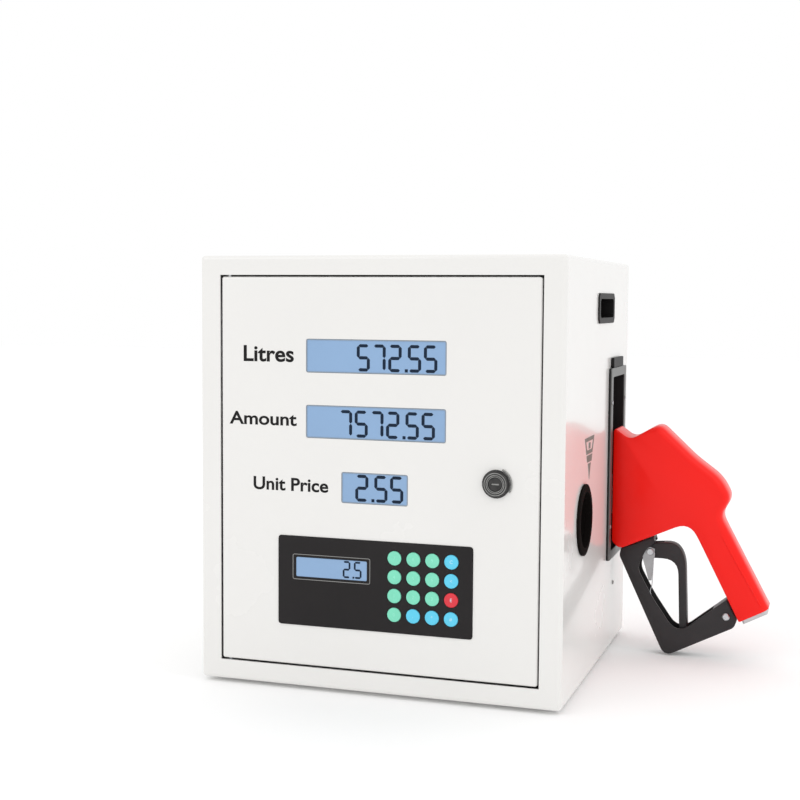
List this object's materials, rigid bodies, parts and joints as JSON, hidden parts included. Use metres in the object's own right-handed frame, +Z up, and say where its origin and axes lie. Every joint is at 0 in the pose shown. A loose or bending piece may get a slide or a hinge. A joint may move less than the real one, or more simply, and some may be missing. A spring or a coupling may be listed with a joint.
{
  "type": "fuel dispenser",
  "caption": "Compact square cabinet fuel dispenser with hinged keypad door, blue displays and a hung red trigger nozzle in a side boot.",
  "frame": {"origin": "centre of the cabinet's flat underside", "axes": "+X towards the nozzle side, +Y towards the rear panel, +Z up"},
  "size_m": [0.587, 0.4094, 0.464],
  "materials": {
    "cabinet_paint": "gloss powder coat, off-white",
    "display_lcd": "backlit blue display",
    "board": "solder mask",
    "keypad_black": "satin black overlay",
    "key_green": "satin green",
    "key_blue": "satin blue",
    "key_red": "satin red",
    "lock_chrome": "polished",
    "steel": "zinc plated",
    "black_plastic": "moulded black",
    "bezel_grey": "satin grey",
    "rubber": "matt black",
    "cast": "sand cast",
    "motor_paint": "satin blue",
    "aluminium": "die cast",
    "gear_brass": "machined",
    "nozzle_red": "gloss red vinyl",
    "guard_black": "satin black"
  },
  "bodies": {
    "cabinet": {"cabinet_shell": "cabinet_paint", "rear_panel": "cabinet_paint", "hinge_pin_upper": "steel", "hinge_pin_lower": "steel", "foot_front_left": "rubber", "foot_front_right": "rubber", "foot_rear_left": "rubber", "foot_rear_right": "rubber", "boot_liner": "black_plastic", "boot_bezel": "bezel_grey", "boot_switch_cover": "black_plastic", "handle_cup_right": "black_plastic", "handle_cup_left": "black_plastic", "hose_grommet": "rubber", "pump_housing": "cast", "motor_body": "motor_paint", "suction_pipe": "steel", "link_pipe": "steel", "outlet_pipe": "steel", "meter_housing": "aluminium", "control_box": "black_plastic"},
    "door": {"door_panel": "cabinet_paint", "lcd_litres": "display_lcd", "lcd_amount": "display_lcd", "lcd_price": "display_lcd", "lcd_preset": "display_lcd", "display_board": "board", "keypad_panel": "keypad_black", "lock_housing": "lock_chrome"},
    "lock": {"lock_plug": "lock_chrome", "lock_cam": "steel"},
    "key_1_1": {"key_1_1": "key_green"},
    "key_1_2": {"key_1_2": "key_green"},
    "key_1_3": {"key_1_3": "key_green"},
    "key_1_4": {"key_1_4": "key_blue"},
    "key_2_1": {"key_2_1": "key_green"},
    "key_2_2": {"key_2_2": "key_green"},
    "key_2_3": {"key_2_3": "key_green"},
    "key_2_4": {"key_2_4": "key_blue"},
    "key_3_1": {"key_3_1": "key_green"},
    "key_3_2": {"key_3_2": "key_green"},
    "key_3_3": {"key_3_3": "key_green"},
    "key_3_4": {"key_3_4": "key_red"},
    "key_4_1": {"key_4_1": "key_green"},
    "key_4_2": {"key_4_2": "key_blue"},
    "key_4_3": {"key_4_3": "key_blue"},
    "key_4_4": {"key_4_4": "key_blue"},
    "rotor": {"motor_shaft": "steel"},
    "gear_a": {"meter_gear_a": "gear_brass"},
    "gear_b": {"meter_gear_b": "gear_brass"},
    "lift": {"lift_lever": "black_plastic"},
    "nozzle": {"nozzle_body": "aluminium", "nozzle_cover": "nozzle_red", "nozzle_spout": "aluminium", "trigger_guard": "guard_black", "guard_screw": "steel"},
    "trigger": {"trigger_lever": "guard_black", "trigger_pin": "steel"},
    "latch": {"hold_latch": "steel"}
  },
  "joints": [
    {"name": "door_hinge", "type": "hinge", "parent": "cabinet", "child": "door", "pos_m": [-0.1684, -0.183, 0.2305], "axis": [0, 0, -1], "range_deg": [0, 95]},
    {"name": "lock_turn", "type": "hinge", "parent": "door", "child": "lock", "pos_m": [0.1303, -0.19, 0.2287], "axis": [0, 1, 0], "range_deg": [0, 90]},
    {"name": "key_1_1_press", "type": "slide", "parent": "door", "child": "key_1_1", "axis": [0, 1, 0], "range_m": [0, 0.0008], "stiffness_N_per_m": 400, "springref_m": -0.0004},
    {"name": "key_1_2_press", "type": "slide", "parent": "door", "child": "key_1_2", "axis": [0, 1, 0], "range_m": [0, 0.0008], "stiffness_N_per_m": 400, "springref_m": -0.0004},
    {"name": "key_1_3_press", "type": "slide", "parent": "door", "child": "key_1_3", "axis": [0, 1, 0], "range_m": [0, 0.0008], "stiffness_N_per_m": 400, "springref_m": -0.0004},
    {"name": "key_1_4_press", "type": "slide", "parent": "door", "child": "key_1_4", "axis": [0, 1, 0], "range_m": [0, 0.0008], "stiffness_N_per_m": 400, "springref_m": -0.0004},
    {"name": "key_2_1_press", "type": "slide", "parent": "door", "child": "key_2_1", "axis": [0, 1, 0], "range_m": [0, 0.0008], "stiffness_N_per_m": 400, "springref_m": -0.0004},
    {"name": "key_2_2_press", "type": "slide", "parent": "door", "child": "key_2_2", "axis": [0, 1, 0], "range_m": [0, 0.0008], "stiffness_N_per_m": 400, "springref_m": -0.0004},
    {"name": "key_2_3_press", "type": "slide", "parent": "door", "child": "key_2_3", "axis": [0, 1, 0], "range_m": [0, 0.0008], "stiffness_N_per_m": 400, "springref_m": -0.0004},
    {"name": "key_2_4_press", "type": "slide", "parent": "door", "child": "key_2_4", "axis": [0, 1, 0], "range_m": [0, 0.0008], "stiffness_N_per_m": 400, "springref_m": -0.0004},
    {"name": "key_3_1_press", "type": "slide", "parent": "door", "child": "key_3_1", "axis": [0, 1, 0], "range_m": [0, 0.0008], "stiffness_N_per_m": 400, "springref_m": -0.0004},
    {"name": "key_3_2_press", "type": "slide", "parent": "door", "child": "key_3_2", "axis": [0, 1, 0], "range_m": [0, 0.0008], "stiffness_N_per_m": 400, "springref_m": -0.0004},
    {"name": "key_3_3_press", "type": "slide", "parent": "door", "child": "key_3_3", "axis": [0, 1, 0], "range_m": [0, 0.0008], "stiffness_N_per_m": 400, "springref_m": -0.0004},
    {"name": "key_3_4_press", "type": "slide", "parent": "door", "child": "key_3_4", "axis": [0, 1, 0], "range_m": [0, 0.0008], "stiffness_N_per_m": 400, "springref_m": -0.0004},
    {"name": "key_4_1_press", "type": "slide", "parent": "door", "child": "key_4_1", "axis": [0, 1, 0], "range_m": [0, 0.0008], "stiffness_N_per_m": 400, "springref_m": -0.0004},
    {"name": "key_4_2_press", "type": "slide", "parent": "door", "child": "key_4_2", "axis": [0, 1, 0], "range_m": [0, 0.0008], "stiffness_N_per_m": 400, "springref_m": -0.0004},
    {"name": "key_4_3_press", "type": "slide", "parent": "door", "child": "key_4_3", "axis": [0, 1, 0], "range_m": [0, 0.0008], "stiffness_N_per_m": 400, "springref_m": -0.0004},
    {"name": "key_4_4_press", "type": "slide", "parent": "door", "child": "key_4_4", "axis": [0, 1, 0], "range_m": [0, 0.0008], "stiffness_N_per_m": 400, "springref_m": -0.0004},
    {"name": "motor_spin", "type": "hinge", "parent": "cabinet", "child": "rotor", "pos_m": [-0.095, 0, 0.075], "axis": [0, 1, 0], "continuous": true},
    {"name": "gear_a_spin", "type": "hinge", "parent": "cabinet", "child": "gear_a", "pos_m": [-0.1022, -0.045, 0.25], "axis": [0, 1, 0], "continuous": true},
    {"name": "gear_b_spin", "type": "hinge", "parent": "cabinet", "child": "gear_b", "pos_m": [-0.0678, -0.045, 0.25], "axis": [0, 1, 0], "continuous": true},
    {"name": "lift_lever_swing", "type": "hinge", "parent": "cabinet", "child": "lift", "pos_m": [0.192, 0.104, 0.306], "axis": [0, 1, 0], "range_deg": [0, 12]},
    {"name": "nozzle_lift_off", "type": "slide", "parent": "cabinet", "child": "nozzle", "axis": [0.9848, 0, 0.1736], "range_m": [0, 0.2]},
    {"name": "trigger_squeeze", "type": "hinge", "parent": "nozzle", "child": "trigger", "pos_m": [0.2466, 0.104, 0.118], "axis": [0, -1, 0], "range_deg": [0, 20], "stiffness_Nm_per_rad": 1, "springref_deg": -11.46},
    {"name": "latch_swing", "type": "hinge", "parent": "trigger", "child": "latch", "pos_m": [0.2466, 0.104, 0.118], "axis": [0, -1, 0], "range_deg": [0, 20], "stiffness_Nm_per_rad": 0.05, "springref_deg": -5.73}
  ],
  "couplings": [
    {"joint": "gear_b_spin", "follows": "gear_a_spin", "ratio": -1}
  ]
}
